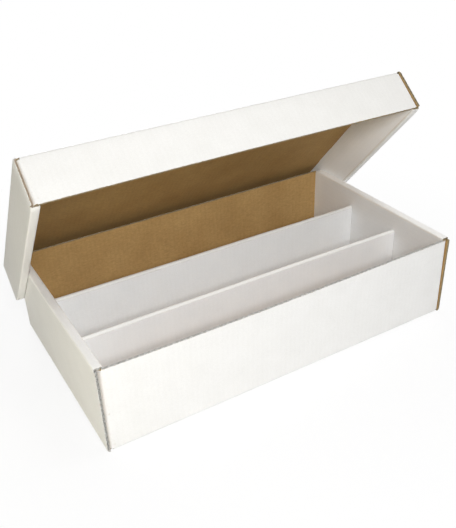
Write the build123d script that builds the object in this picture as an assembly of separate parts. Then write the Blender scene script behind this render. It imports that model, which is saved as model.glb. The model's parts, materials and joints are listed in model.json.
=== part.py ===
from build123d import *
import os
from math import asin, cos, hypot, radians, sin, sqrt

# Corrugated board, millimetres
BOARD = 3.2           # thickness of the single-wall board
LINER = 0.4           # each of the two facing papers
MEDIUM = 0.5          # the waved paper between them
FLUTE_PITCH = 6.5     # one wave
FLUTE_DEPTH = 4.0     # how far the open flutes are cut into a raw edge
FOLD_INSIDE = 0.4     # inside radius of a creased fold
PLY_GAP = 0.1         # air between two boards that lie face to face

# Tray
TRAY_LENGTH = 482.0
TRAY_DEPTH = 272.0
TRAY_HEIGHT = 112.0   # to the crest of the rolled ends
TRAY_FLAP = 108.0     # corner flap, from the long wall's face
ROLL_SIDE_GAP = 0.2   # each side of a rolled end, to the long wall
FLAP_GAP = 0.3        # a flap's clearance to the floor and to the crest

# Lid
LID_HEIGHT = 57.0     # to the crest of the rolled ends
LID_FLAP = 74.0
LID_SKIRT_DROP = 2.8  # the long skirts end this much short of the crests
LID_END_GAP = 0.6     # each end, lid to tray
LID_REAR_GAP = 0.5    # rear skirt to rear wall when closed
LID_SEAT_GAP = 0.2    # lid to crests when closed
LID_EASE_LENGTH = 9.0
LID_EASE_RADIUS = 34.0

# Lid tilt
OPEN_ANGLE = 48.8     # from closed to the pose that leans on the rear wall
AXIS_INSET = 15.8     # tilt axis, inwards from the rear wall's face
LEAN_GAP = 0.3        # rear skirt's edge to the rear wall when open
SWING_GAP = 0.4       # lid to tray while it tilts

# Dividers
DIVIDER_COUNT = 2
DIVIDER_HEIGHT = 86.5
DIVIDER_END_GAP = 0.4
DIVIDER_TAB_COUNT = 3
DIVIDER_TAB_SPACING = 160.0

# Lock tabs
TAB_LENGTH = 40.0
TAB_CHAMFER = 1.6
TAB_GAP = 0.5         # round a tab in its slot
TAB_RECESS = 0.5      # tab's end, above the underside of its slot
END_TAB_COUNT = 2
END_TAB_SPACING = 128.0

# Sizes that follow
FOLD = BOARD + FOLD_INSIDE
END_WALL = 3 * BOARD + 2 * PLY_GAP
DIVIDER = 2 * BOARD + PLY_GAP
ROW = (TRAY_DEPTH - 2 * BOARD - DIVIDER_COUNT * DIVIDER) / (DIVIDER_COUNT + 1)

SKIRT_INSIDE = LID_HEIGHT - LID_SKIRT_DROP - BOARD
LID_INNER_TOP = TRAY_HEIGHT + LID_SEAT_GAP
SKIRT_EDGE = LID_INNER_TOP - SKIRT_INSIDE
TURN = radians(OPEN_ANGLE)
EDGE_ABOVE_AXIS = (AXIS_INSET + LEAN_GAP - (AXIS_INSET + LID_REAR_GAP) * cos(TURN)) / sin(TURN)
AXIS_Y = TRAY_DEPTH / 2 - AXIS_INSET
AXIS_Z = SKIRT_EDGE - EDGE_ABOVE_AXIS
SWING_R = LID_INNER_TOP - AXIS_Z - SWING_GAP
WALL_HEIGHT = AXIS_Z + sqrt(SWING_R**2 - AXIS_INSET**2)
AXIS_TO_FRONT = TRAY_DEPTH - AXIS_INSET
FRONT_SWING = hypot(AXIS_TO_FRONT, WALL_HEIGHT - AXIS_Z) + SWING_GAP
LID_FRONT_GAP = sqrt(FRONT_SWING**2 - EDGE_ABOVE_AXIS**2) - AXIS_TO_FRONT
LID_LENGTH = TRAY_LENGTH + 2 * (LID_END_GAP + END_WALL)
LID_DEPTH = TRAY_DEPTH + LID_REAR_GAP + LID_FRONT_GAP + 2 * BOARD


def spread(count, spacing):
    """Places of equally spaced copies about zero."""
    return [spacing * (i - (count - 1) / 2) for i in range(count)]


def folded_section(top):
    """Section of a panel that rises to top from the crease at its foot."""
    centre = (FOLD, FOLD)
    edges = [
        CenterArc(centre, FOLD, 180, 90),
        Line((FOLD, 0), (FOLD, BOARD)),
        CenterArc(centre, FOLD_INSIDE, 180, 90),
        Line((BOARD, FOLD), (BOARD, top)),
        Line((BOARD, top), (0, top)),
        Line((0, top), (0, FOLD)),
    ]
    return make_face(edges)


def roll_section():
    """Section of a crest: two creases that turn an end panel over into its lining."""
    far = END_WALL - FOLD
    edges = [
        CenterArc((FOLD, 0), FOLD, 90, 90),
        Line((FOLD, FOLD), (far, FOLD)),
        CenterArc((far, 0), FOLD, 0, 90),
        Line((END_WALL, 0), (END_WALL - BOARD, 0)),
        CenterArc((far, 0), FOLD_INSIDE, 0, 90),
        Line((far, FOLD_INSIDE), (FOLD, FOLD_INSIDE)),
        CenterArc((FOLD, 0), FOLD_INSIDE, 90, 90),
        Line((BOARD, 0), (0, 0)),
    ]
    return make_face(edges)


def open_flutes(run):
    """Open ends of the flutes along a raw edge, on both sides of the waved paper."""
    half = FLUTE_PITCH / 2 - MEDIUM
    waves = int((run - FLUTE_PITCH) / FLUTE_PITCH)
    pockets = []
    for x in spread(waves, FLUTE_PITCH):
        under = [(x - half, LINER), (x + half, LINER), (x, BOARD - LINER - MEDIUM)]
        y_top = BOARD - LINER
        x_over = x + FLUTE_PITCH / 2
        over = [(x_over - half, y_top), (x_over, LINER + MEDIUM), (x_over + half, y_top)]
        pockets += [Polygon(*under, align=None), Polygon(*over, align=None)]
    return pockets


def tab_outline(height):
    """A lock tab that hangs from the edge at zero, with its lower corners cut off."""
    tab = Pos(0, -height / 2) * Rectangle(TAB_LENGTH, height)
    return chamfer(tab.vertices().group_by(Axis.Y)[0], TAB_CHAMFER)


def tabbed_outline(run, low, high, places):
    """Outline of an upright panel with lock tabs along its lower edge."""
    outline = Pos(0, (low + high) / 2) * Rectangle(run, high - low)
    for place in places:
        outline += Pos(place, low) * tab_outline(low - TAB_RECESS)
    return outline


class RolledBox:
    """An open box of one creased sheet: a base, two long walls and two rolled ends."""

    def __init__(self, length, depth, height, wall, flap, ease_length, ease_radius):
        self.length = length
        self.depth = depth
        self.height = height
        self.wall = wall
        self.flap = flap
        self.ease_length = ease_length
        self.ease_radius = ease_radius
        self.flap_face = length / 2 - BOARD - PLY_GAP
        self.wall_run = 2 * (self.flap_face - FOLD)
        self.roll_width = depth - 2 * (BOARD + ROLL_SIDE_GAP)
        self.lining_face = length / 2 - END_WALL

    def base(self, slots):
        """Flat panel between the creases, cut with slots for the lock tabs."""
        sheet = Rectangle(self.length - 2 * FOLD, self.depth - 2 * FOLD)
        x_lining = self.lining_face + BOARD / 2
        for x in (-x_lining, x_lining):
            for y in spread(END_TAB_COUNT, END_TAB_SPACING):
                sheet -= Pos(x, y) * Rectangle(BOARD + 2 * TAB_GAP, TAB_LENGTH + 2 * TAB_GAP)
        for slot in slots:
            sheet -= slot
        return extrude(sheet, BOARD)

    def front_wall(self):
        """Long wall with the fold at its foot and the flutes open along its top."""
        section = Plane.YZ * folded_section(self.wall)
        wall = Pos(0, -self.depth / 2, 0) * extrude(section, self.wall_run / 2, both=True)
        edge = Plane((0, -self.depth / 2, self.wall))
        flutes = [extrude(edge * pocket, -FLUTE_DEPTH) for pocket in open_flutes(self.wall_run)]
        return wall - flutes

    def front_left_flap(self):
        """Flap that turns the corner from the front wall and lies inside the rolled end."""
        corner = Plane((-self.flap_face, -self.depth / 2, BOARD + FLAP_GAP))
        rise = self.height - 2 * (BOARD + FLAP_GAP)
        return extrude(corner * folded_section(self.flap), rise)

    def left_end_panel(self):
        """Outer board of the rolled end, its flutes open along both upright edges."""
        section = Plane.XZ * folded_section(self.height - FOLD)
        panel = Pos(-self.length / 2, 0, 0) * extrude(section, self.depth / 2, both=True)
        upright = self.height - 2 * FOLD
        flutes = []
        for y, inwards in ((-self.depth / 2, 1), (self.depth / 2, -1)):
            edge = Plane((-self.length / 2, y, self.height / 2), x_dir=(0, 0, 1), z_dir=(0, inwards, 0))
            for pocket in open_flutes(upright):
                turned = pocket if inwards < 0 else mirror(pocket, about=Plane.XZ)
                flutes.append(extrude(edge * turned, FLUTE_DEPTH))
        return panel - flutes

    def left_end_crest(self):
        """Roll over the top of the end, its own ends falling away in an arc."""
        section = Plane.XZ * roll_section()
        roll = extrude(section, self.roll_width / 2, both=True)
        half = self.roll_width / 2
        start = half - self.ease_length
        turn = asin(self.ease_length / self.ease_radius)
        centre = FOLD - self.ease_radius

        def on_arc(angle, side):
            return (side * (start + self.ease_radius * sin(angle)), centre + self.ease_radius * cos(angle))

        right = [on_arc(turn * share, 1) for share in (0, 0.5, 1)]
        left = [on_arc(turn * share, -1) for share in (0, 0.5, 1)]
        edges = [
            ThreePointArc(*right),
            Line(right[2], (half, 0)),
            Line((half, 0), (-half, 0)),
            Line((-half, 0), left[2]),
            ThreePointArc(*left),
            Line(left[0], right[0]),
        ]
        side_view = extrude(Plane.YZ * make_face(edges), END_WALL)
        return Pos(-self.length / 2, 0, self.height - FOLD) * (roll & side_view)

    def left_end_lining(self):
        """Inner board of the rolled end, locked into the base by its tabs."""
        places = spread(END_TAB_COUNT, END_TAB_SPACING)
        outline = tabbed_outline(self.roll_width, BOARD + PLY_GAP, self.height - FOLD, places)
        return Pos(-self.lining_face - BOARD, 0, 0) * extrude(Plane.YZ * outline, BOARD)

    def panels(self, base_name, wall_name, front, rear, slots):
        """Every panel of the sheet, by name; front and rear name the low and high Y sides."""
        parts = {base_name: self.base(slots)}
        parts[front + "_" + wall_name] = self.front_wall()
        parts[rear + "_" + wall_name] = mirror(parts[front + "_" + wall_name], about=Plane.XZ)
        flap = self.front_left_flap()
        parts[front + "_left_flap"] = flap
        parts[front + "_right_flap"] = mirror(flap, about=Plane.YZ)
        parts[rear + "_left_flap"] = mirror(flap, about=Plane.XZ)
        parts[rear + "_right_flap"] = mirror(parts[rear + "_left_flap"], about=Plane.YZ)
        ends = {
            "end_panel": self.left_end_panel(),
            "end_crest": self.left_end_crest(),
            "end_lining": self.left_end_lining(),
        }
        for name, panel in ends.items():
            parts["left_" + name] = panel
            parts["right_" + name] = mirror(panel, about=Plane.YZ)
        return parts


def divider(y):
    """A sheet folded double over its top edge: two leaves and the fold between them."""
    run = TRAY_LENGTH - 2 * (END_WALL + DIVIDER_END_GAP)
    radius = DIVIDER / 2
    inside = PLY_GAP / 2
    shoulder = DIVIDER_HEIGHT - radius
    places = spread(DIVIDER_TAB_COUNT, DIVIDER_TAB_SPACING)
    outline = Plane.XZ * tabbed_outline(run, BOARD + PLY_GAP, shoulder, places)
    front_leaf = Pos(0, y - inside, 0) * extrude(outline, BOARD)
    bend = [
        CenterArc((0, 0), radius, 0, 180),
        Line((-radius, 0), (-inside, 0)),
        CenterArc((0, 0), inside, 0, 180),
        Line((inside, 0), (radius, 0)),
    ]
    crest = Pos(0, y, shoulder) * extrude(Plane.YZ * make_face(bend), run / 2, both=True)
    rear_leaf = Pos(0, BOARD + PLY_GAP, 0) * front_leaf
    return {"front_leaf": front_leaf, "rear_leaf": rear_leaf, "crest": crest}


def make_parts():
    """The tray with its dividers, and the lid leaning open on the rear wall."""
    parts = {}
    divider_places = spread(DIVIDER_COUNT, ROW + DIVIDER)
    slots = []
    for y in divider_places:
        for x in spread(DIVIDER_TAB_COUNT, DIVIDER_TAB_SPACING):
            slots.append(Pos(x, y) * Rectangle(TAB_LENGTH + 2 * TAB_GAP, DIVIDER + 2 * TAB_GAP))

    roll_half = TRAY_DEPTH / 2 - BOARD - ROLL_SIDE_GAP
    tray = RolledBox(
        TRAY_LENGTH, TRAY_DEPTH, TRAY_HEIGHT, WALL_HEIGHT, TRAY_FLAP,
        ease_length=roll_half - AXIS_Y, ease_radius=TRAY_HEIGHT - AXIS_Z,
    )
    for name, panel in tray.panels("floor", "wall", "front", "rear", slots).items():
        parts["tray_" + name] = panel

    lid = RolledBox(
        LID_LENGTH, LID_DEPTH, LID_HEIGHT, LID_HEIGHT - LID_SKIRT_DROP, LID_FLAP,
        ease_length=LID_EASE_LENGTH, ease_radius=LID_EASE_RADIUS,
    )
    shift = (LID_REAR_GAP - LID_FRONT_GAP) / 2
    closed = Pos(0, shift, LID_INNER_TOP + BOARD) * Rot(180, 0, 0)
    tilt = Pos(0, AXIS_Y, AXIS_Z) * Rot(-OPEN_ANGLE, 0, 0) * Pos(0, -AXIS_Y, -AXIS_Z)
    for name, panel in lid.panels("top", "skirt", "rear", "front", []).items():
        parts["lid_" + name] = tilt * closed * panel

    for side, y in zip(("front", "rear"), divider_places):
        for name, leaf in divider(y).items():
            parts[side + "_divider_" + name] = leaf
    return parts


os.makedirs("parts", exist_ok=True)
for node, shape in make_parts().items():
    export_step(shape, "parts/" + node + ".step")
print("lid tilt axis y, z:", round(AXIS_Y, 4), round(AXIS_Z, 4))
print("long wall height:", round(WALL_HEIGHT, 3), "lid front gap:", round(LID_FRONT_GAP, 3))
print("lid length, depth:", round(LID_LENGTH, 3), round(LID_DEPTH, 3), "row:", round(ROW, 3))
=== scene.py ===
import json
import math

import bmesh
import bpy
from mathutils import Matrix, Vector, noise


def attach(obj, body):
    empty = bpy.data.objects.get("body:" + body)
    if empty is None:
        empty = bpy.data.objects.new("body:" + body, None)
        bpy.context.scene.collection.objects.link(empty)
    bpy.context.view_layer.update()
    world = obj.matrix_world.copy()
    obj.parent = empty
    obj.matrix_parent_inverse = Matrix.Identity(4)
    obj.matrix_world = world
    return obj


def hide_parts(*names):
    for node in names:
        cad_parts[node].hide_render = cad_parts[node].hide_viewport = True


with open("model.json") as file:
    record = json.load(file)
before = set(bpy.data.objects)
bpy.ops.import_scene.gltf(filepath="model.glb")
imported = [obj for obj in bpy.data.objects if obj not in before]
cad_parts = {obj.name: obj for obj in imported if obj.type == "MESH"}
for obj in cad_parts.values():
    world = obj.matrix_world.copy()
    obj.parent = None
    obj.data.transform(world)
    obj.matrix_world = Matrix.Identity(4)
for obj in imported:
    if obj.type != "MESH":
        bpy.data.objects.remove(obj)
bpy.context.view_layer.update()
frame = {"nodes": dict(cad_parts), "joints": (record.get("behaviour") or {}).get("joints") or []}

# Base panels: the tray's floor and the lid's top.
# Each is the flat middle of one folded sheet of single-wall corrugated board, with white clay-coated paper
# outside and bare kraft inside. Slots are die-cut through it for the lock tabs of the linings and dividers.

mm = 0.001
BASES = {"tray": "tray_floor", "lid": "lid_top"}
FLUTE_PITCH = 6.5 * mm
TAB_LENGTH = 40 * mm
TAB_GAP = 0.5 * mm
END_TAB_PLACES = (-64 * mm, 64 * mm)
DIVIDER_TAB_PLACES = (-160 * mm, 0, 160 * mm)
GRID = 12 * mm
SHARP_ANGLE = math.radians(40)
RELIEF_STRENGTH = 0.6
PAPER_SHEEN = 0.25

# Papers of every panel, in the order of its material slots.
OUTSIDE, INSIDE, RAW = range(3)

tilt = next(joint for joint in frame["joints"] if joint["name"] == "lid_tilt")
pivot = Matrix.Translation(tilt["pos_m"])
closing_turn = Matrix.Rotation(math.radians(tilt["range_deg"][0]), 4, Vector(tilt["axis"]))
lid_opens = (pivot @ closing_turn @ pivot.inverted()).inverted()


def corners(node_name, into):
    """Lowest and highest corner of a CAD node, seen in another frame."""
    points = [into @ vertex.co for vertex in frame["nodes"][node_name].data.vertices]
    low = Vector([min(point[i] for point in points) for i in range(3)])
    high = Vector([max(point[i] for point in points) for i in range(3)])
    return low, high


lid_low, lid_high = corners("lid_top", lid_opens.inverted())
lid_centre = Matrix.Translation((0, (lid_low.y + lid_high.y) / 2, lid_high.z))
at_rest = {"tray": Matrix.Identity(4), "lid": lid_opens @ lid_centre @ Matrix.Rotation(math.pi, 4, "X")}


def own_box(node_name):
    """A panel's corners in its sheet's own frame, where the base lies down and the walls stand up."""
    sheet = "lid" if node_name.startswith("lid") else "tray"
    return corners(node_name, at_rest[sheet].inverted())


def node(tree, kind, inputs=None, **settings):
    """A node with its settings, its plain inputs and its linked inputs."""
    made = tree.nodes.new(kind)
    for setting, value in settings.items():
        setattr(made, setting, value)
    for socket, value in (inputs or {}).items():
        if isinstance(value, bpy.types.NodeSocket):
            tree.links.new(value, made.inputs[socket])
        else:
            made.inputs[socket].default_value = value
    return made


def math_node(tree, operation, first, second=0.0):
    """A sum, product or the like of two values."""
    return node(tree, "ShaderNodeMath", {0: first, 1: second}, operation=operation).outputs[0]


def noise_node(tree, place, spots, detail, stretch=(1, 1, 1)):
    """Cloudy noise with about so many spots to the metre, drawn out along an axis where stretch is low."""
    spread = node(tree, "ShaderNodeMapping", {"Vector": place, "Scale": stretch}).outputs[0]
    return node(tree, "ShaderNodeTexNoise", {"Vector": spread, "Scale": spots, "Detail": detail}).outputs[0]


def ramp_node(tree, factor, *stops):
    """A colour ramp through (place, colour) stops."""
    made = node(tree, "ShaderNodeValToRGB", {"Fac": factor})
    while len(made.color_ramp.elements) < len(stops):
        made.color_ramp.elements.new(1.0)
    for element, (place, colour) in zip(made.color_ramp.elements, stops):
        element.position = place
        element.color = (*colour, 1)
    return made.outputs[0]


def tint_node(tree, blend, share, under, over):
    """One colour laid over another by a share of 0 to 1."""
    if not isinstance(over, bpy.types.NodeSocket):
        over = (*over, 1)
    # A Mix node takes its colours at sockets 6 and 7 and gives theirs at output 2.
    inputs = {0: share, 6: under, 7: over}
    return node(tree, "ShaderNodeMix", inputs, data_type="RGBA", blend_type=blend).outputs[2]


def flute_bands(tree):
    """One soft band for each wave of the board, from the sheet's flat coordinates."""
    flat = node(tree, "ShaderNodeUVMap", uv_map="board").outputs[0]
    # A wave texture of scale 1 turns through 20 radians to the metre.
    radians_to_the_metre = 20
    settings = {
        "Vector": flat,
        "Scale": 2 * math.pi / (radians_to_the_metre * FLUTE_PITCH),
        "Distortion": 1.1,
        "Detail": 2.0,
        "Detail Scale": 0.6,
    }
    return node(tree, "ShaderNodeTexWave", settings, bands_direction="X").outputs["Fac"]


def new_paper(name):
    """A material under way, with its node tree and the place of each point on the object."""
    material = bpy.data.materials.new(name)
    material.use_nodes = True
    tree = material.node_tree
    return material, tree, node(tree, "ShaderNodeTexCoord").outputs["Object"]


def finish_paper(tree, colour, height, depth, roughness):
    """Joins a paper's colour, relief and roughness to its shader."""
    shader = tree.nodes["Principled BSDF"]
    relief = {"Strength": RELIEF_STRENGTH, "Distance": depth, "Height": height}
    bump = node(tree, "ShaderNodeBump", relief)
    tree.links.new(colour, shader.inputs["Base Color"])
    tree.links.new(roughness, shader.inputs["Roughness"])
    tree.links.new(bump.outputs[0], shader.inputs["Normal"])
    shader.inputs["Specular IOR Level"].default_value = PAPER_SHEEN


def white_liner(name, dull, bright):
    """Clay-coated white paper, a little mottled and specked, scuffed to kraft at folds and cut edges."""
    material, tree, place = new_paper(name)
    speck_brown = (0.42, 0.37, 0.30)
    bare_brown = (0.44, 0.32, 0.20)
    cloud = noise_node(tree, place, spots=38, detail=4)
    fibre = noise_node(tree, place, spots=700, detail=5)
    speck = noise_node(tree, place, spots=1500, detail=2)
    rubbing = noise_node(tree, place, spots=260, detail=6)
    bands = flute_bands(tree)
    white = ramp_node(tree, cloud, (0.3, dull), (0.7, bright))
    grain = ramp_node(tree, fibre, (0.25, (0.90, 0.90, 0.90)), (0.65, (1, 1, 1)))
    white = tint_node(tree, "MULTIPLY", share=0.5, under=white, over=grain)
    # Painted shade: each flute wave is darkened a little, standing in for the shadows of the washboarded
    # liner.
    shade = ramp_node(tree, bands, (0.0, (0.991, 0.990, 0.988)), (1.0, (1, 1, 1)))
    white = tint_node(tree, "MULTIPLY", share=1.0, under=white, over=shade)
    dots = ramp_node(tree, speck, (0.70, (0, 0, 0)), (0.78, (1, 1, 1)))
    speck_share = math_node(tree, "MULTIPLY", dots, 0.18)
    white = tint_node(tree, "MIX", share=speck_share, under=white, over=speck_brown)
    worn = node(tree, "ShaderNodeAttribute", attribute_name="wear").outputs["Fac"]
    scuff = math_node(tree, "MULTIPLY", worn, rubbing)
    bare = ramp_node(tree, scuff, (0.44, (0, 0, 0)), (0.62, (1, 1, 1)))
    bare_share = math_node(tree, "MULTIPLY", bare, 0.65)
    white = tint_node(tree, "MIX", share=bare_share, under=white, over=bare_brown)
    faint_bands = math_node(tree, "MULTIPLY", bands, 0.3)
    relief = math_node(tree, "ADD", faint_bands, fibre)
    gloss = node(tree, "ShaderNodeMapRange", {"Value": fibre, "To Min": 0.50, "To Max": 0.68}).outputs[0]
    finish_paper(tree, white, relief, depth=0.12 * mm, roughness=gloss)
    return material


def kraft_liner():
    """Unbleached brown paper, its long fibres lying across the flutes, with a faint painted shade at each
    wave for the washboard of its flutes.
    """
    material, tree, place = new_paper("kraft_liner")
    fleck_brown = (0.16, 0.09, 0.045)
    flat = node(tree, "ShaderNodeUVMap", uv_map="board").outputs[0]
    cloud = noise_node(tree, place, spots=18, detail=4)
    fibre = noise_node(tree, flat, spots=900, detail=6, stretch=(0.12, 1, 1))
    fleck = noise_node(tree, flat, spots=1300, detail=2, stretch=(0.3, 1, 1))
    pulp = noise_node(tree, place, spots=380, detail=2)
    bands = flute_bands(tree)
    brown = ramp_node(tree, cloud, (0.3, (0.445, 0.280, 0.110)), (0.7, (0.534, 0.348, 0.146)))
    grain = ramp_node(tree, fibre, (0.30, (0.78, 0.77, 0.75)), (0.70, (1.08, 1.08, 1.06)))
    brown = tint_node(tree, "MULTIPLY", share=0.6, under=brown, over=grain)
    # Painted shade: a faint darker band at each flute wave, standing in for the washboard's shadows.
    flute_shade = ramp_node(tree, bands, (0.0, (0.972, 0.968, 0.964)), (0.6, (1, 1, 1)))
    brown = tint_node(tree, "MULTIPLY", share=1.0, under=brown, over=flute_shade)
    mottle = ramp_node(tree, pulp, (0.3, (0.93, 0.93, 0.92)), (0.7, (1.06, 1.05, 1.04)))
    brown = tint_node(tree, "MULTIPLY", share=1.0, under=brown, over=mottle)
    dark = ramp_node(tree, fleck, (0.66, (0, 0, 0)), (0.74, (1, 1, 1)))
    fleck_share = math_node(tree, "MULTIPLY", dark, 0.35)
    brown = tint_node(tree, "MIX", share=fleck_share, under=brown, over=fleck_brown)
    relief = math_node(tree, "ADD", bands, fibre)
    rough = node(tree, "ShaderNodeMapRange", {"Value": fibre, "To Min": 0.72, "To Max": 0.9}).outputs[0]
    finish_paper(tree, brown, relief, depth=0.10 * mm, roughness=rough)
    return material


def raw_paper(name, dark, light):
    """Cut paper inside the board: the waved middle sheet and the liners' edges, furry and uneven."""
    material, tree, place = new_paper(name)
    fur = noise_node(tree, place, spots=1800, detail=4)
    cloud = noise_node(tree, place, spots=120, detail=3)
    brown = ramp_node(tree, fur, (0.25, dark), (0.75, light))
    patch = ramp_node(tree, cloud, (0.3, (0.82, 0.82, 0.82)), (0.7, (1.08, 1.08, 1.08)))
    brown = tint_node(tree, "MULTIPLY", share=0.8, under=brown, over=patch)
    rough = node(tree, "ShaderNodeMapRange", {"Value": fur, "To Min": 0.8, "To Max": 0.95}).outputs[0]
    finish_paper(tree, brown, fur, depth=0.2 * mm, roughness=rough)
    return material


# The lid's white is a slightly duller copy of the tray's: painted shade that offsets the extra light falling
# on the lid's up-facing skirt.
tray_white = white_liner("tray_white_liner", dull=(0.815, 0.809, 0.792), bright=(0.84, 0.835, 0.82))
lid_shaded_white = white_liner("lid_shaded_white_liner", dull=(0.78, 0.77, 0.742), bright=(0.805, 0.796, 0.77))
kraft = kraft_liner()
raw_brown = raw_paper("raw_brown_paper", dark=(0.24, 0.19, 0.105), light=(0.42, 0.335, 0.20))
papers = {"tray": (tray_white, kraft, raw_brown), "lid": (lid_shaded_white, kraft, raw_brown)}


def breaks(low, high, size, fixed=()):
    """Places from low to high about size apart, with every fixed place among them."""
    stops = sorted({low, high, *(place for place in fixed if low < place < high)})
    places = [low]
    for start, stop in zip(stops, stops[1:]):
        count = max(1, round((stop - start) / size))
        places += [start + (stop - start) * i / count for i in range(1, count + 1)]
    return places


class BoardMesh:
    """A panel under way: its vertices with their flat place on the sheet and their wear, and its faces."""

    def __init__(self):
        self.bm = bmesh.new()
        self.wear = self.bm.verts.layers.float.new("wear")
        self.flat = {}

    def vertex(self, point, flat, wear=0.0):
        made = self.bm.verts.new(point)
        made[self.wear] = wear
        self.flat[made] = flat
        return made

    def face(self, vertices, paper):
        self.bm.faces.new(vertices).material_index = paper

    def piece(self, node_name, sheet, body, slot, faced=None):
        """Closes the panel, moves it from its sheet's own frame to its place and hands it over."""
        board_map = self.bm.loops.layers.uv.new("board")
        for face in self.bm.faces:
            face.smooth = True
            for loop in face.loops:
                loop[board_map].uv = self.flat[loop.vert]
        bmesh.ops.recalc_face_normals(self.bm, faces=self.bm.faces)
        self.bm.transform(at_rest[sheet])
        mesh = bpy.data.meshes.new(node_name + "_board")
        self.bm.to_mesh(mesh)
        self.bm.free()
        mesh.set_sharp_from_angle(angle=SHARP_ANGLE)
        for paper in faced or papers[sheet]:
            mesh.materials.append(paper)
        made = bpy.data.objects.new(mesh.name, mesh)
        bpy.context.scene.collection.objects.link(made)
        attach(made, body)
        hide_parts(node_name)


def cut_board(columns, rows, solid, place, flat):
    """A flat board die-cut along straight lines: a grid of cells, less those that are cut away."""
    board = BoardMesh()
    made = {}

    def vertex(i, j, side):
        if (i, j, side) not in made:
            point = place(columns[i], rows[j], side)
            made[i, j, side] = board.vertex(point, flat(columns[i], rows[j]))
        return made[i, j, side]

    kept = set()
    for i in range(len(columns) - 1):
        for j in range(len(rows) - 1):
            if solid((columns[i] + columns[i + 1]) / 2, (rows[j] + rows[j + 1]) / 2):
                kept.add((i, j))
    for i, j in kept:
        ring = ((i, j), (i + 1, j), (i + 1, j + 1), (i, j + 1))
        for side in (OUTSIDE, INSIDE):
            board.face([vertex(*corner, side) for corner in ring], side)
        beside = ((i, j - 1), (i + 1, j), (i, j + 1), (i - 1, j))
        for start, stop, neighbour in zip(ring, ring[1:] + ring[:1], beside):
            if neighbour not in kept:
                edge = ((start, OUTSIDE), (stop, OUTSIDE), (stop, INSIDE), (start, INSIDE))
                board.face([vertex(*corner, side) for corner, side in edge], RAW)
    return board


BOARD = own_box("tray_floor")[1].z

for sheet, base in BASES.items():
    low, high = own_box(base)
    lining_low, lining_high = own_box(sheet + "_right_end_lining")
    lining_middle = (lining_low.x + lining_high.x) / 2
    slots = []
    for side in (-1, 1):
        for y in END_TAB_PLACES:
            slots.append((side * lining_middle, y, BOARD / 2 + TAB_GAP, TAB_LENGTH / 2 + TAB_GAP))
    if sheet == "tray":
        for divider in ("front_divider", "rear_divider"):
            front = own_box(divider + "_front_leaf")[0].y
            rear = own_box(divider + "_rear_leaf")[1].y
            for x in DIVIDER_TAB_PLACES:
                slots.append((x, (front + rear) / 2, TAB_LENGTH / 2 + TAB_GAP, (rear - front) / 2 + TAB_GAP))

    def in_slot(x, y):
        return any(abs(x - cx) < half_x and abs(y - cy) < half_y for cx, cy, half_x, half_y in slots)

    cuts_across = [cx + side * half_x for cx, cy, half_x, half_y in slots for side in (-1, 1)]
    cuts_along = [cy + side * half_y for cx, cy, half_x, half_y in slots for side in (-1, 1)]
    panel = cut_board(
        breaks(low.x, high.x, GRID, cuts_across),
        breaks(low.y, high.y, GRID, cuts_along),
        solid=lambda x, y: not in_slot(x, y),
        place=lambda x, y, side: (x, y, side * BOARD),
        flat=lambda x, y: (x, y),
    )
    panel.piece(base, sheet, sheet, "kraft_board" if sheet == "tray" else "white_board")

# Long walls of the tray and long skirts of the lid.
# Each rises from a creased fold at its foot, with its flutes upright, so the cut edge along the top shows
# the waved paper between two liners. The board is free there and bows a little.

LINER = 0.4 * mm
OPEN_DEPTH = 5 * mm
SCUFF = 1.6 * mm
CUT_BACK = 0.1 * mm
FOLD_STEPS = 6
CORNER_RADIUS_FOOT = 3.4 * mm
CORNER_RADIUS_TOP = {"tray": 6.6 * mm, "lid": 3.8 * mm}
CORNER_GROWTH = 1.3
CORNER_ROW = 1 * mm
CORNER_ROWS = 6
WALL_BOW = {
    "tray_front_wall": 2.6 * mm,
    "tray_rear_wall": -0.5 * mm,
    "lid_front_skirt": 2.2 * mm,
    "lid_rear_skirt": 0.4 * mm,
}
LEFT_BIAS = 0.45
FOLD_WEAR = 0.55
CORNER_WEAR = 0.7
WORN_RUN = 4 * mm
DENT = 0.12 * mm
DENTS_PER_METRE = 14
EDGE_STEP = 2 * mm

# The cutting rule has dragged the white coat over the tray's front edge.
dragged_white = raw_paper("dragged_white_edge", dark=(0.42, 0.415, 0.395), light=(0.62, 0.613, 0.59))
open_edges = []


def arc(centre, radius, start, stop, count):
    """Points along an arc, angles in degrees."""
    angles = [math.radians(start + (stop - start) * i / count) for i in range(count + 1)]
    return [(centre[0] + radius * math.cos(a), centre[1] + radius * math.sin(a)) for a in angles]


def dent(x, y, z):
    """Handling leaves shallow hollows in a board's faces."""
    return DENT * noise.noise(Vector((x, y, z)) * DENTS_PER_METRE)


def round_corner(past, depth, fold, radius):
    """Place of a point past a wall's end, depth below its face: (along the wall, inwards from the face)."""
    start = fold - radius
    if past <= start:
        return past, depth
    angle = (past - start) / radius
    if angle <= math.pi / 2:
        reach = radius - depth
        return start + reach * math.sin(angle), radius - reach * math.cos(angle)
    return fold - depth, radius + past - start - radius * math.pi / 2


def corner_radius(sheet, share):
    """The corner fold is tight at its foot and relaxes towards the free top edge, most on the tall tray."""
    relaxed = max(0, share) ** CORNER_GROWTH
    return CORNER_RADIUS_FOOT + (CORNER_RADIUS_TOP[sheet] - CORNER_RADIUS_FOOT) * relaxed


def sweep_board(stations, loop, place, flat, rub=lambda station: 0):
    """A closed section carried along its stations. Each of its corners is (a, b, paper to the next, wear)."""
    board = BoardMesh()
    rings = []
    for station in stations:
        least = rub(station)
        ring = [
            board.vertex(place(station, a, b), flat(station, a, b), max(wear, least))
            for a, b, paper, wear in loop
        ]
        rings.append(ring)
    for ring, next_ring in zip(rings, rings[1:]):
        for i, (a, b, paper, wear) in enumerate(loop):
            k = (i + 1) % len(loop)
            board.face([ring[i], ring[k], next_ring[k], next_ring[i]], paper)
    board.face(rings[0], RAW)
    board.face(rings[-1], RAW)
    return board


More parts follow.
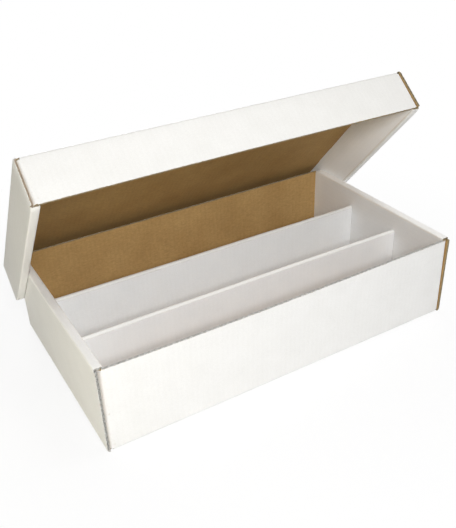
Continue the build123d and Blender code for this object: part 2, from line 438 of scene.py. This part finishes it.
for wall, bow in WALL_BOW.items():
    sheet = wall.split("_")[0]
    low, high = own_box(wall)
    base_high = own_box(BASES[sheet])[1]
    out = -1 if low.y < 0 else 1
    face = high.y if out > 0 else -low.y
    fold = face - base_high.y
    top = high.z
    loop = [(d, z, OUTSIDE, FOLD_WEAR) for d, z in arc((fold, fold), fold, 270, 180, FOLD_STEPS)]
    rising = breaks(fold, top, GRID, [top - SCUFF])[1:]
    loop += [(0, z, OUTSIDE, 0) for z in rising[:-1]]
    loop += [
        (0, top, OUTSIDE, 1),
        (LINER, top, RAW, 1),
        (LINER, top - OPEN_DEPTH, RAW, 0),
        (BOARD - LINER, top - OPEN_DEPTH, RAW, 0),
        (BOARD - LINER, top, RAW, 1),
    ]
    loop += [(BOARD, z, INSIDE, 0) for z in reversed(rising)]
    inner_fold = arc((fold, fold), fold - BOARD, 180, 270, FOLD_STEPS // 2)
    loop += [(d, z, INSIDE, 0) for d, z in inner_fold[:-1]]
    loop += [(fold, BOARD, RAW, 0)]

    def on_wall(x, depth, z):
        """A point of the wall in the sheet's own frame, with its bow, dents and rounded ends."""
        past = abs(x) - high.x
        along, inwards = round_corner(past, depth, fold, corner_radius(sheet, z / top))
        rise = max(0, (z - fold) / (top - fold))
        across = x / high.x
        swell = bow * (1 - across**2) * (1 - LEFT_BIAS * across) * rise**2
        swell += dent(x, out, z) * rise * min(1, -past / GRID)
        return Vector((math.copysign(high.x + along, x), out * (face - inwards + swell), z))

    def rub(x):
        """The coat is rubbed thin beside the corner folds."""
        return CORNER_WEAR if high.x - abs(x) < WORN_RUN else 0

    near_ends = [side * (high.x - row * CORNER_ROW) for side in (-1, 1) for row in range(1, CORNER_ROWS + 1)]
    stations = breaks(low.x, high.x, GRID, near_ends)
    panel = sweep_board(stations, loop, on_wall, lambda x, depth, z: (x, z), rub)
    edge_paper = dragged_white if wall == "tray_front_wall" else raw_brown
    panel.piece(wall, sheet, sheet, "white_board", (*papers[sheet][:RAW], edge_paper))
    edge = [on_wall(x, BOARD / 2, top - CUT_BACK) for x in breaks(low.x, high.x, EDGE_STEP)]
    open_edges.append((sheet, edge_paper, edge, Vector((0, 0, -1))))

# Corner flaps of the tray and the lid.
# Each turns the corner from a long wall and lies trapped inside the rolled end. Only the soft upright fold
# shows, in the groove beside the end panel's cut edge.

FLAP_STEP = 0.8 * mm
SOFT_RUN = 11 * mm
HIDDEN_GRID = 3 * GRID

for sheet, wall_word in (("tray", "wall"), ("lid", "skirt")):
    top = own_box(sheet + "_front_" + wall_word)[1].z
    for end in ("front", "rear"):
        wall_low, wall_high = own_box(sheet + "_" + end + "_" + wall_word)
        out = -1 if wall_low.y < 0 else 1
        face = wall_high.y if out > 0 else -wall_low.y
        for side_word, side in (("left", -1), ("right", 1)):
            flap = sheet + "_" + end + "_" + side_word + "_flap"
            low, high = own_box(flap)
            fold = max(abs(low.x), abs(high.x)) - wall_high.x
            length = high.y - low.y - fold + fold * math.pi / 2
            runs = breaks(0, SOFT_RUN, FLAP_STEP) + breaks(SOFT_RUN, length, HIDDEN_GRID)[1:]
            loop = [(s, 0, OUTSIDE, CORNER_WEAR if s < SOFT_RUN else 0) for s in runs[:-1]]
            loop += [(runs[-1], 0, RAW, 0)]
            loop += [(s, BOARD, INSIDE, 0) for s in reversed(runs[1:])]
            loop += [(0, BOARD, RAW, 0)]

            def on_flap(z, past, depth):
                """A point of the flap in the sheet's own frame, round the corner from its wall."""
                along, inwards = round_corner(past, depth, fold, corner_radius(sheet, z / top))
                return Vector((side * (wall_high.x + along), out * (face - inwards), z))

            levels = breaks(low.z, high.z, GRID)
            panel = sweep_board(levels, loop, on_flap, flat=lambda z, past, depth: (wall_high.x + past, z))
            panel.piece(flap, sheet, sheet, "kraft_board")

# End panels of the tray and the lid.
# The outer board of each rolled end. It folds up from the base across the full depth, with its flutes lying
# level, so both upright edges show the waved paper. It springs outwards a little towards the top.

END_LEAN = 0.35 * mm
LEAN_GROWTH = 1.5
EDGE_WEAR = 0.9

# How deep a cut edge shows its flutes, and how far its outer liner is crushed down over them.
OPEN_CUT = (OPEN_DEPTH, 0)
SHUT_CUT = (1 * mm, 1 * mm)

# The tray's left edges are dragged white, the lid's left edges are crushed shut, and the right ones are open.
# The lid's left edges are painted a lighter tan than its right ones: painted light that offsets the shade in
# their flutes.
lit_raw_tan = raw_paper("lit_raw_tan_paper", dark=(0.30, 0.24, 0.175), light=(0.44, 0.365, 0.285))
END_EDGES = {
    "tray_left": (dragged_white, OPEN_CUT),
    "tray_right": (raw_brown, OPEN_CUT),
    "lid_left": (lit_raw_tan, SHUT_CUT),
    "lid_right": (raw_brown, OPEN_CUT),
}


def open_ended_loop(low, high, step, deep, crush):
    """Section of a board along its flutes, which are open at both ends: corners are (depth, along)."""
    along = breaks(low, high, step, [low + SCUFF, high - SCUFF])
    loop = [(crush, low, OUTSIDE, EDGE_WEAR)]
    loop += [(0, y, OUTSIDE, 0) for y in along[1:-1]]
    loop += [
        (crush, high, OUTSIDE, EDGE_WEAR),
        (crush + LINER, high, RAW, 1),
        (crush + LINER, high - deep, RAW, 0),
        (BOARD - LINER, high - deep, RAW, 0),
        (BOARD - LINER, high, RAW, 1),
    ]
    loop += [(BOARD, y, INSIDE, 0) for y in reversed(along[1:])]
    loop += [
        (BOARD, low, RAW, 1),
        (BOARD - LINER, low, RAW, 1),
        (BOARD - LINER, low + deep, RAW, 0),
        (crush + LINER, low + deep, RAW, 0),
        (crush + LINER, low, OUTSIDE, EDGE_WEAR),
    ]
    return loop


def end_path(fold, top):
    """Stations round the foot and up the board: (length along its face, inwards, up, direction into it)."""
    path = []
    for i in range(FOLD_STEPS + 1):
        turned = math.radians(90 * i / FOLD_STEPS)
        into = Vector((math.sin(turned), math.cos(turned)))
        path.append((fold * turned, fold - fold * into.x, fold - fold * into.y, into))
    folded = fold * math.pi / 2
    path += [(folded + z - fold, 0, z, Vector((1, 0))) for z in breaks(fold, top, GRID)[1:]]
    return path


for sheet, base in BASES.items():
    for side_word, side in (("left", -1), ("right", 1)):
        panel_name = sheet + "_" + side_word + "_end_panel"
        low, high = own_box(panel_name)
        face = max(abs(low.x), abs(high.x))
        path = end_path(face - own_box(base)[1].x, high.z)

        def on_end(station, depth, y):
            """A point of the end panel in the sheet's own frame."""
            length, inwards, up, into = station
            lean = END_LEAN * (up / high.z) ** LEAN_GROWTH
            return Vector((side * (face - inwards - depth * into.x + lean), y, up + depth * into.y))

        edge_paper, (deep, crush) = END_EDGES[sheet + "_" + side_word]
        loop = open_ended_loop(low.y, high.y, GRID, deep, crush)
        panel = sweep_board(path, loop, on_end, flat=lambda station, depth, y: (station[0], y))
        panel.piece(panel_name, sheet, sheet, "white_board", (*papers[sheet][:RAW], edge_paper))
        for y, inwards in ((low.y + CUT_BACK, 1), (high.y - CUT_BACK, -1)):
            edge = [on_end(station, (crush + BOARD) / 2, y) for station in path]
            open_edges.append((sheet, edge_paper, edge, Vector((0, inwards, 0))))

# Crests of the rolled ends.
# Two creases turn each end panel over the trapped flaps and down into its lining. The crushed flutes leave
# the roll soft and a little lumpy, and its own cut ends fall away beside the long walls.

# Length and radius of that fall. The tray's is rounded to the lid's swing behind, and falls less in front.
ROLL_EASE = {"tray": (12.4 * mm, 57.9 * mm), "lid": (9 * mm, 34 * mm)}
FRONT_EASE = 0.25
OUTER_CREASE = 1.5 * mm
INNER_CREASE = 2.0 * mm
CRUSHED = 0.3 * mm
LUMP = 0.5 * mm
LUMPS_PER_METRE = 75
ROLL_GRID = 3 * mm

# The tray's crests are painted a brighter, warmer white than its walls: a painted highlight standing in for
# the light from above on the up-facing rolls.
lit_crest_white = white_liner("lit_crest_white_liner", dull=(0.93, 0.922, 0.895), bright=(0.955, 0.948, 0.925))
ROLL_WHITE = {"tray": lit_crest_white, "lid": lid_shaded_white}


def roll_path(width, foot, top):
    """Stations over a roll, foot to foot: (length along its face, place of a layer by its depth)."""

    def creased(radius, turn, far):
        def layer(depth):
            bent = max(radius - depth, CRUSHED)
            x = depth + bent - bent * math.cos(turn)
            return width - x if far else x, top - depth - bent + bent * math.sin(turn)

        return layer

    turns = [math.radians(90 * i / FOLD_STEPS) for i in range(FOLD_STEPS + 1)]
    layers = [lambda depth: (depth, foot)]
    layers += [creased(OUTER_CREASE, turn, False) for turn in turns]
    layers += [creased(INNER_CREASE, turn, True) for turn in reversed(turns)]
    layers += [lambda depth: (width - depth, foot)]
    length = 0
    stations = []
    for before, layer in zip(layers[:1] + layers, layers):
        length += math.dist(before(0), layer(0))
        stations.append((length, layer))
    return stations


for sheet, (ease_length, ease_radius) in ROLL_EASE.items():
    for side_word, side in (("left", -1), ("right", 1)):
        crest = sheet + "_" + side_word + "_end_crest"
        low, high = own_box(crest)
        face = max(abs(low.x), abs(high.x))
        width = high.x - low.x
        fold = high.z - low.z
        path = roll_path(width, low.z, high.z)

        def on_roll(station, depth, y):
            """A point of the roll, with its lumps and its falling ends, in the sheet's own frame."""
            length, layer = station
            x, z = layer(depth)
            height = min(1, max(0, (z - low.z) / fold))
            past = max(0, abs(y) - high.y + ease_length)
            fall = ease_radius - math.sqrt(ease_radius**2 - past**2)
            if sheet == "tray" and y < 0:
                fall *= FRONT_EASE
            own_lumps = 1 if sheet == "lid" else 0
            spot = Vector((side * face + layer(0)[0], y, own_lumps)) * LUMPS_PER_METRE
            lump = LUMP * (1 + noise.noise(spot)) / 2
            lean = END_LEAN * (1 - x / width)
            return Vector((side * (face - x + lean), y, z - (fall + lump) * height))

        edge_paper, (deep, crush) = END_EDGES[sheet + "_" + side_word]
        loop = open_ended_loop(low.y, high.y, ROLL_GRID, deep, crush)
        panel = sweep_board(path, loop, on_roll, flat=lambda station, depth, y: (station[0], y))
        panel.piece(crest, sheet, sheet, "white_board", (ROLL_WHITE[sheet], kraft, edge_paper))
        for y, inwards in ((low.y + CUT_BACK, 1), (high.y - CUT_BACK, -1)):
            edge = [on_roll(station, (crush + BOARD) / 2, y) for station in path]
            open_edges.append((sheet, edge_paper, edge, Vector((0, inwards, 0))))

# Linings of the rolled ends.
# The inner board of each end, white side showing, hangs from the crest. Its two tabs push through the slots
# in the base and lock the whole end.

TAB_CHAMFER = 1.6 * mm
PLY_GAP = 0.1 * mm

# Faces inside the box, the linings and dividers, are painted a brighter, cooler white than the outside:
# painted light that offsets the shade and the warm kraft bounce inside the box.
lit_inside_white = white_liner("lit_inside_white_liner", dull=(0.90, 0.915, 0.925), bright=(0.93, 0.943, 0.95))
lit_inside_papers = (lit_inside_white, kraft, raw_brown)


def tabbed_board(low, high, foot, places, place, flat):
    """An upright board from foot to high with lock tabs down to low, their lower corners cut off."""
    tabs = [(middle - TAB_LENGTH / 2, middle + TAB_LENGTH / 2) for middle in places]

    def solid(along, z):
        return z > foot or any(start < along < stop for start, stop in tabs)

    def chamfered(along, z, side):
        cut = max(0, low[1] + TAB_CHAMFER - z)
        for start, stop in tabs:
            along = along + cut * (along == start) - cut * (along == stop)
        return place(along, z, side)

    columns = breaks(low[0], high[0], GRID, [edge for tab in tabs for edge in tab])
    rows = breaks(low[1], high[1], GRID, [low[1] + TAB_CHAMFER, foot])
    return cut_board(columns, rows, solid, chamfered, flat)


for sheet in BASES:
    for side_word, side in (("left", -1), ("right", 1)):
        lining = sheet + "_" + side_word + "_end_lining"
        low, high = own_box(lining)
        shown = min(abs(low.x), abs(high.x))
        panel = tabbed_board(
            (low.y, low.z), (high.y, high.z), BOARD + PLY_GAP, END_TAB_PLACES,
            place=lambda y, z, under: Vector((side * (shown + under * BOARD), y, z)),
            flat=lambda y, z: (z, y),
        )
        panel.piece(lining, sheet, sheet, "white_board", lit_inside_papers)

# Dividers.
# Two loose sheets, each folded double over its top edge with the white side out, stand in slots of the floor
# on three pairs of tabs. The flutes are upright, so the fold crosses them and its crest runs slightly wavy.

DIVIDER_BOW = {"front_divider": 0.9 * mm, "rear_divider": -0.7 * mm}
CREST_WAVE = 0.45 * mm
CREST_WAVES_PER_METRE = 9
CREST_WEAR = 0.5
CREST_GRID = 6 * mm
CREST_STEPS = 12
CREST_INSIDE_STEPS = 4
LEFT_RISE = 1.5 * mm

for divider, bow in DIVIDER_BOW.items():
    crest_low, crest_high = own_box(divider + "_crest")
    middle = (crest_low.y + crest_high.y) / 2
    half_length = crest_high.x

    def settle(x, y, z):
        """Where a point ends up once the sheet has bowed, its fold has crept and its left end stands high."""
        height = max(0, z - BOARD) / crest_high.z
        sway = bow * (1 - (x / half_length) ** 2) * height**2
        creep = CREST_WAVE * noise.noise(Vector((x, middle, 0)) * CREST_WAVES_PER_METRE) * height**3
        creep += LEFT_RISE * (half_length - x) / (2 * half_length)
        return Vector((x, y + sway, z + creep))

    for leaf, outwards in (("front_leaf", -1), ("rear_leaf", 1)):
        low, high = own_box(divider + "_" + leaf)
        shown = high.y if outwards > 0 else low.y
        panel = tabbed_board(
            (low.x, low.z), (high.x, high.z), BOARD + PLY_GAP, DIVIDER_TAB_PLACES,
            place=lambda x, z, under: settle(x, shown - outwards * under * BOARD, z),
            flat=lambda x, z: (x, z),
        )
        panel.piece(divider + "_" + leaf, "tray", divider, "white_board", lit_inside_papers)

    radius = crest_high.z - crest_low.z
    outer = arc((middle, crest_low.z), radius, 0, 180, CREST_STEPS)
    inner = arc((middle, crest_low.z), radius - BOARD, 180, 0, CREST_INSIDE_STEPS)
    loop = [(y, z, OUTSIDE, CREST_WEAR) for y, z in outer[:-1]]
    loop += [(middle - radius, crest_low.z, RAW, CREST_WEAR)]
    loop += [(y, z, INSIDE, 0) for y, z in inner[:-1]]
    loop += [(*inner[-1], RAW, 0)]
    stations = breaks(crest_low.x, crest_high.x, CREST_GRID)
    panel = sweep_board(stations, loop, settle, flat=lambda x, y, z: (x, z))
    panel.piece(divider + "_crest", "tray", divider, "white_board")

# Open flutes.
# The waved middle paper of the board, seen wherever a cut crosses the flutes: along the tops of the walls and
# skirts, up the edges of the end panels and in the ends of the crests.

WAVE_STEPS = 10
MEDIUM = 0.3 * mm
WELD = 0.01 * mm


def vector_node(tree, operation, inputs):
    """A vector crossed with another, or scaled by a value."""
    return node(tree, "ShaderNodeVectorMath", inputs, operation=operation).outputs[0]


def flute_tree():
    """Waves each edge line through the board's thickness, draws it into the board and gives it thickness."""
    tree = bpy.data.node_groups.new("open_flutes", "GeometryNodeTree")
    sockets = tree.interface
    sockets.new_socket("Edge lines", in_out="INPUT", socket_type="NodeSocketGeometry")
    for name in ("Pitch", "Wave height", "Depth", "Thickness"):
        sockets.new_socket(name, in_out="INPUT", socket_type="NodeSocketFloat")
    sockets.new_socket("Paper", in_out="INPUT", socket_type="NodeSocketMaterial")
    sockets.new_socket("Waved paper", in_out="OUTPUT", socket_type="NodeSocketGeometry")
    given = node(tree, "NodeGroupInput").outputs
    line = node(tree, "GeometryNodeMeshToCurve", {"Mesh": given["Edge lines"]}).outputs[0]
    step = math_node(tree, "DIVIDE", given["Pitch"], WAVE_STEPS)
    line = node(tree, "GeometryNodeResampleCurve", {"Curve": line, "Length": step}, mode="LENGTH").outputs[0]
    length = node(tree, "GeometryNodeSplineParameter").outputs["Length"]
    turns = math_node(tree, "DIVIDE", length, given["Pitch"])
    wave = math_node(tree, "SINE", math_node(tree, "MULTIPLY", turns, 2 * math.pi))
    lift = math_node(tree, "MULTIPLY", wave, math_node(tree, "DIVIDE", given["Wave height"], 2))
    named = {"Name": "inward"}
    inward = node(tree, "GeometryNodeInputNamedAttribute", named, data_type="FLOAT_VECTOR").outputs[0]
    tangent = node(tree, "GeometryNodeInputTangent").outputs[0]
    across = vector_node(tree, "CROSS_PRODUCT", {0: tangent, 1: inward})
    offset = vector_node(tree, "SCALE", {0: across, "Scale": lift})
    line = node(tree, "GeometryNodeSetPosition", {"Geometry": line, "Offset": offset}).outputs[0]
    wire = node(tree, "GeometryNodeCurveToMesh", {"Curve": line}).outputs[0]
    reach = vector_node(tree, "SCALE", {0: inward, "Scale": given["Depth"]})
    drawn = {"Mesh": wire, "Offset": reach, "Offset Scale": 1.0}
    ribbon = node(tree, "GeometryNodeExtrudeMesh", drawn, mode="EDGES").outputs[0]
    thick = {"Mesh": ribbon, "Offset Scale": given["Thickness"], "Individual": False}
    face = node(tree, "GeometryNodeExtrudeMesh", thick, mode="FACES").outputs[0]
    back = node(tree, "GeometryNodeFlipFaces", {"Mesh": ribbon}).outputs[0]
    joined = node(tree, "GeometryNodeJoinGeometry", {"Geometry": face})
    tree.links.new(back, joined.inputs["Geometry"])
    welded = {"Geometry": joined.outputs[0], "Distance": WELD}
    closed = node(tree, "GeometryNodeMergeByDistance", welded).outputs[0]
    plain = node(tree, "GeometryNodeRealizeInstances", {"Geometry": closed}).outputs[0]
    painted = {"Geometry": plain, "Material": given["Paper"]}
    node(tree, "NodeGroupOutput", {0: node(tree, "GeometryNodeSetMaterial", painted).outputs[0]})
    return tree


waves = flute_tree()

FLUTE_GROUPS = {
    "tray_white_flutes": ("tray", dragged_white, OPEN_CUT),
    "tray_brown_flutes": ("tray", raw_brown, OPEN_CUT),
    "lid_tan_flutes": ("lid", lit_raw_tan, SHUT_CUT),
    "lid_brown_flutes": ("lid", raw_brown, OPEN_CUT),
}

for flutes_name, (sheet, paper, (deep, crush)) in FLUTE_GROUPS.items():
    lines = bpy.data.meshes.new(flutes_name)
    points = []
    pairs = []
    inwards = []
    for edge_sheet, edge_paper, edge, inward in open_edges:
        if (edge_sheet, edge_paper) != (sheet, paper):
            continue
        pairs += [(len(points) + i, len(points) + i + 1) for i in range(len(edge) - 1)]
        points += [at_rest[sheet] @ point for point in edge]
        inwards += [at_rest[sheet].to_3x3() @ inward] * len(edge)
    lines.from_pydata(points, pairs, [])
    attribute = lines.attributes.new("inward", "FLOAT_VECTOR", "POINT")
    attribute.data.foreach_set("vector", [value for inward in inwards for value in inward])
    flutes = bpy.data.objects.new(flutes_name, lines)
    bpy.context.scene.collection.objects.link(flutes)
    modifier = flutes.modifiers.new("flutes", "NODES")
    modifier.node_group = waves
    given = {
        "Pitch": FLUTE_PITCH,
        "Wave height": BOARD - crush - 2 * LINER - MEDIUM,
        "Depth": deep - 2 * CUT_BACK,
        "Thickness": MEDIUM,
        "Paper": paper,
    }
    for socket in waves.interface.items_tree:
        if socket.name in given:
            modifier[socket.identifier] = given[socket.name]
    evaluated = flutes.evaluated_get(bpy.context.evaluated_depsgraph_get())
    paper_waves = bpy.data.meshes.new_from_object(evaluated)
    flutes.modifiers.clear()
    flutes.data = paper_waves
    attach(flutes, sheet)

# Stage: a plain white floor, studio light and the camera.
# The floor shows as white with the box's soft shadow on it. A key lamp in front and one above light the box,
# a low warm one its left ends, and two broad ones its back and right, with an even dim sky for fill.

FLOOR_SIZE = 6.0
FLOOR_DROP = 0.2 * mm
FLOOR_PAINT = (0.88, 0.88, 0.88, 1)
WHITE = (1, 1, 1, 1)
SHADOW_SHARE = 0.3
SHADOW_REACH = 0.62
SKY = 0.05
LIT_POINT = Vector((0, 0, 0.08))
CAMERA_PLACE = Vector((-0.3882, -0.66326, 0.54742))
CAMERA_TARGET = Vector((-0.0081, 0, 0.08796))
CAMERA_ROLL = math.radians(-2.04)
LENS = 47.34

# Each lamp's name, place, width, watts and tint.
LAMPS = (
    ("key", (-0.31, -0.90, 0.79), 0.30, 10.1, (1, 1, 1)),
    ("top", (0.40, -0.30, 1.30), 0.5, 4.5, (1, 1, 1)),
    ("left", (-0.72, -0.24, 0.04), 0.3, 1.55, (1, 0.93, 0.70)),
    ("rear", (0.3, 1.65, 0.45), 0.9, 22.0, (1, 1, 1)),
    ("right", (1.5, 0.1, 0.35), 0.9, 7.0, (1, 1, 1)),
)


def seen_rays(tree):
    """One for rays that show the surroundings themselves: to the camera, off gloss or through glass."""
    path = node(tree, "ShaderNodeLightPath").outputs
    seen = math_node(tree, "ADD", path["Is Camera Ray"], path["Is Glossy Ray"])
    return math_node(tree, "MINIMUM", math_node(tree, "ADD", seen, path["Is Transmission Ray"]), 1.0)


half = FLOOR_SIZE / 2
floor_mesh = bpy.data.meshes.new("floor")
floor_corners = [(x * half, y * half, -FLOOR_DROP) for x, y in ((-1, -1), (1, -1), (1, 1), (-1, 1))]
floor_mesh.from_pydata(floor_corners, [], [(0, 1, 2, 3)])
floor = bpy.data.objects.new("floor", floor_mesh)
bpy.context.scene.collection.objects.link(floor)
floor_paint = bpy.data.materials.new("floor")
floor_paint.use_nodes = True
tree = floor_paint.node_tree
tree.nodes.clear()
matt = node(tree, "ShaderNodeBsdfDiffuse", {"Color": FLOOR_PAINT}).outputs[0]
white = node(tree, "ShaderNodeEmission", {"Color": WHITE, "Strength": 1.0}).outputs[0]
place = node(tree, "ShaderNodeTexCoord").outputs["Object"]
distance = node(tree, "ShaderNodeVectorMath", {0: place}, operation="LENGTH").outputs["Value"]
fading = {"Value": distance, "From Min": 0.0, "From Max": SHADOW_REACH, "To Min": SHADOW_SHARE, "To Max": 0.0}
share = node(tree, "ShaderNodeMapRange", fading, interpolation_type="SMOOTHSTEP").outputs[0]
shown = node(tree, "ShaderNodeMixShader", {0: share, 1: white, 2: matt}).outputs[0]
surface = node(tree, "ShaderNodeMixShader", {0: seen_rays(tree), 1: matt, 2: shown}).outputs[0]
node(tree, "ShaderNodeOutputMaterial", {"Surface": surface})
floor_mesh.materials.append(floor_paint)

sky = bpy.data.worlds.new("studio")
sky.use_nodes = True
tree = sky.node_tree
tree.nodes.clear()
fill = node(tree, "ShaderNodeBackground", {"Color": WHITE, "Strength": SKY}).outputs[0]
white = node(tree, "ShaderNodeBackground", {"Color": WHITE, "Strength": 1.0}).outputs[0]
surface = node(tree, "ShaderNodeMixShader", {0: seen_rays(tree), 1: fill, 2: white}).outputs[0]
node(tree, "ShaderNodeOutputWorld", {"Surface": surface})
bpy.context.scene.world = sky

for name, place, size, power, tint in LAMPS:
    lamp = bpy.data.lights.new(name, "AREA")
    lamp.size = size
    lamp.energy = power
    lamp.color = tint
    holder = bpy.data.objects.new(name, lamp)
    holder.location = place
    holder.visible_camera = False
    holder.rotation_euler = (LIT_POINT - Vector(place)).to_track_quat("-Z", "Y").to_euler()
    bpy.context.scene.collection.objects.link(holder)

lens = bpy.data.cameras.new("camera")
lens.lens = LENS
camera = bpy.data.objects.new("camera", lens)
aim = (CAMERA_TARGET - CAMERA_PLACE).to_track_quat("-Z", "Y").to_matrix().to_4x4()
roll = Matrix.Rotation(CAMERA_ROLL, 4, "Z")
camera.matrix_world = Matrix.Translation(CAMERA_PLACE) @ aim @ roll
bpy.context.scene.collection.objects.link(camera)
bpy.context.scene.camera = camera
bpy.context.scene.view_settings.view_transform = "Standard"
